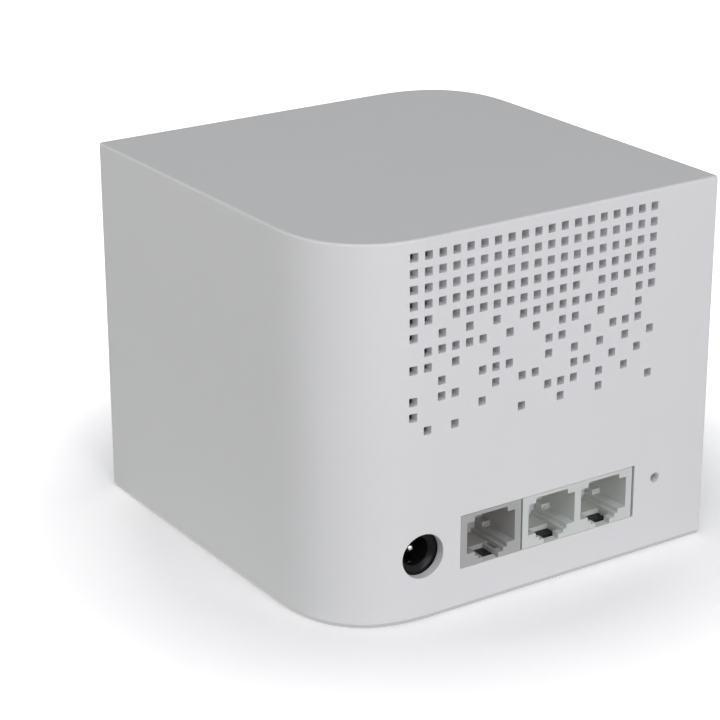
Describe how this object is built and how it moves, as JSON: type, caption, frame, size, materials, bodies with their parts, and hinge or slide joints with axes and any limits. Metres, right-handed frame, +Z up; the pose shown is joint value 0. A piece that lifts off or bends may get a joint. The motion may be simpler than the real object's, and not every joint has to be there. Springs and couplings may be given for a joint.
{
  "type": "wireless router",
  "caption": "Cube-shaped wireless router with two soft upright corners, a square-hole vent field, network sockets, a round power inlet and a recessed reset switch.",
  "frame": {"origin": "on the floor under the middle of the case, at the level of the feet's undersides", "axes": "+Z up, +Y out of the side with the sockets, +X towards the power inlet's end of that side"},
  "size_m": [0.0944, 0.0944, 0.0813],
  "materials": {
    "case_white": "fine satin moulded ABS",
    "cover_white": "moulded ABS",
    "foot_rubber": "soft grey rubber",
    "screw_steel": "zinc-plated steel",
    "board_black": "glass-epoxy board under black solder mask",
    "wan_grey": "mid-grey glass-filled nylon",
    "lan_grey": "light grey glass-filled nylon",
    "contact_gold": "gold-plated phosphor bronze",
    "power_black": "black moulded plastic",
    "pin_nickel": "nickel-plated brass",
    "switch_black": "black moulded plastic",
    "plunger_white": "white moulded plastic",
    "tin_steel": "tin-plated sheet steel",
    "chip_black": "black epoxy package",
    "pad_grey": "soft thermal pad",
    "sink_aluminium": "extruded aluminium",
    "can_aluminium": "sleeved aluminium can",
    "ferrite_grey": "moulded ferrite",
    "led_yellow": "phosphor-filled resin",
    "pipe_clear": "clear acrylic",
    "frame_white": "moulded ABS",
    "antenna_green": "glass-epoxy strip under green mask",
    "coax_grey": "thin jacketed coaxial lead"
  },
  "bodies": {
    "router": {"housing": "case_white", "base_cover": "cover_white", "rubber_feet": "foot_rubber", "case_screws": "screw_steel", "main_board": "board_black", "board_screws": "screw_steel", "wan_jack": "wan_grey", "wan_insert": "wan_grey", "wan_contacts": "contact_gold", "lan_jack": "lan_grey", "lan_inserts": "lan_grey", "lan_contacts": "contact_gold", "power_jack": "power_black", "power_pin": "pin_nickel", "power_spring": "pin_nickel", "reset_switch": "switch_black", "reset_bracket": "tin_steel", "reset_pins": "tin_steel", "processor": "chip_black", "thermal_pad": "pad_grey", "heat_sink": "sink_aluminium", "heat_sink_screws": "screw_steel", "memory_chips": "chip_black", "flash_chip": "chip_black", "radio_chips": "chip_black", "shield_frames": "tin_steel", "shield_lids": "tin_steel", "line_transformers": "chip_black", "capacitors": "can_aluminium", "inductors": "ferrite_grey", "crystal": "tin_steel", "status_led": "led_yellow", "light_pipe": "pipe_clear", "antenna_frame": "frame_white", "antenna_left": "antenna_green", "antenna_right": "antenna_green", "antenna_front_left": "antenna_green", "antenna_front_right": "antenna_green", "coax_left": "coax_grey", "coax_right": "coax_grey", "coax_front_left": "coax_grey", "coax_front_right": "coax_grey", "coax_plugs": "contact_gold"},
    "reset_plunger": {"reset_button": "plunger_white"}
  },
  "joints": [
    {"name": "reset_press", "type": "slide", "parent": "router", "child": "reset_plunger", "axis": [0, -1, 0], "range_m": [0, 0.0003], "stiffness_N_per_m": 1500, "springref_m": -0.0001}
  ]
}
